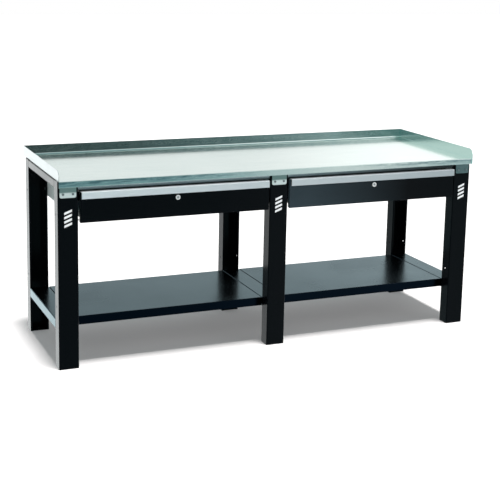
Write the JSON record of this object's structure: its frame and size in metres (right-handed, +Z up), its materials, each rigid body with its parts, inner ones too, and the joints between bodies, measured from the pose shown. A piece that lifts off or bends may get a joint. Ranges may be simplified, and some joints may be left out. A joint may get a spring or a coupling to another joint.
{
  "type": "workbench with drawers",
  "caption": "Steel workbench with a galvanised top, upstands at the back and sides, sliding drawers with grip handles and locks, and a lower shelf.",
  "frame": {"origin": "middle of the bench's outer box, on the floor", "axes": "+X along the bench to the right, +Y from the drawers' side to the back, +Z up"},
  "size_m": [2.204, 0.757, 0.941],
  "materials": {
    "black_powder_coat": "semi-gloss powder coat",
    "shelf_powder_coat": "satin powder coat",
    "galvanised_sheet": "galvanised, faint spangle",
    "handle_aluminium": "satin anodised",
    "nickel": "nickel plated",
    "zinc_plated": "bright zinc plated",
    "core_plywood": "raw board",
    "stripe_white": "vinyl film"
  },
  "bodies": {
    "bench_frame": {"leg_front_left": "black_powder_coat", "leg_rear_left": "black_powder_coat", "side_rail_top_left": "black_powder_coat", "side_rail_low_left": "black_powder_coat", "bracket_left": "galvanised_sheet", "leg_front_middle": "black_powder_coat", "leg_rear_middle": "black_powder_coat", "side_rail_top_middle": "black_powder_coat", "side_rail_low_middle": "black_powder_coat", "bracket_middle": "galvanised_sheet", "leg_front_right": "black_powder_coat", "leg_rear_right": "black_powder_coat", "side_rail_top_right": "black_powder_coat", "side_rail_low_right": "black_powder_coat", "bracket_right": "galvanised_sheet", "foot_plates": "black_powder_coat", "bracket_screws": "zinc_plated", "leg_stripes": "stripe_white", "worktop_sheet": "galvanised_sheet", "rail_bolts": "zinc_plated", "shelf_bolts": "zinc_plated", "panel_bolts": "zinc_plated", "front_rail_left": "black_powder_coat", "rear_rail_left": "black_powder_coat", "shelf_left": "shelf_powder_coat", "core_board_left": "core_plywood", "runner_panel_left_l": "zinc_plated", "runner_fixed_left_l": "zinc_plated", "runner_panel_left_r": "zinc_plated", "runner_fixed_left_r": "zinc_plated", "front_rail_right": "black_powder_coat", "rear_rail_right": "black_powder_coat", "shelf_right": "shelf_powder_coat", "core_board_right": "core_plywood", "runner_panel_right_l": "zinc_plated", "runner_fixed_right_l": "zinc_plated", "runner_panel_right_r": "zinc_plated", "runner_fixed_right_r": "zinc_plated"},
    "drawer_left": {"drawer_box_left": "black_powder_coat", "drawer_front_left": "black_powder_coat", "handle_left": "handle_aluminium", "lock_housing_left": "nickel", "runner_inner_left_l": "zinc_plated", "runner_inner_left_r": "zinc_plated"},
    "runner_middles_left": {"runner_middle_left_l": "zinc_plated", "runner_middle_left_r": "zinc_plated"},
    "lock_left": {"lock_plug_left": "nickel", "lock_cam_left": "zinc_plated"},
    "drawer_right": {"drawer_box_right": "black_powder_coat", "drawer_front_right": "black_powder_coat", "handle_right": "handle_aluminium", "lock_housing_right": "nickel", "runner_inner_right_l": "zinc_plated", "runner_inner_right_r": "zinc_plated"},
    "runner_middles_right": {"runner_middle_right_l": "zinc_plated", "runner_middle_right_r": "zinc_plated"},
    "lock_right": {"lock_plug_right": "nickel", "lock_cam_right": "zinc_plated"}
  },
  "joints": [
    {"name": "drawer_slide_left", "type": "slide", "parent": "bench_frame", "child": "drawer_left", "axis": [0, -1, 0], "range_m": [0, 0.5]},
    {"name": "runner_middle_slide_left", "type": "slide", "parent": "bench_frame", "child": "runner_middles_left", "axis": [0, -1, 0], "range_m": [0, 0.25]},
    {"name": "lock_turn_left", "type": "hinge", "parent": "drawer_left", "child": "lock_left", "pos_m": [-0.5295, -0.3665, 0.787], "axis": [0, 1, 0], "range_deg": [0, 90]},
    {"name": "drawer_slide_right", "type": "slide", "parent": "bench_frame", "child": "drawer_right", "axis": [0, -1, 0], "range_m": [0, 0.5]},
    {"name": "runner_middle_slide_right", "type": "slide", "parent": "bench_frame", "child": "runner_middles_right", "axis": [0, -1, 0], "range_m": [0, 0.25]},
    {"name": "lock_turn_right", "type": "hinge", "parent": "drawer_right", "child": "lock_right", "pos_m": [0.5205, -0.3665, 0.787], "axis": [0, 1, 0], "range_deg": [0, 90]}
  ],
  "couplings": [
    {"joint": "runner_middle_slide_left", "follows": "drawer_slide_left", "ratio": 0.5},
    {"joint": "runner_middle_slide_right", "follows": "drawer_slide_right", "ratio": 0.5}
  ]
}
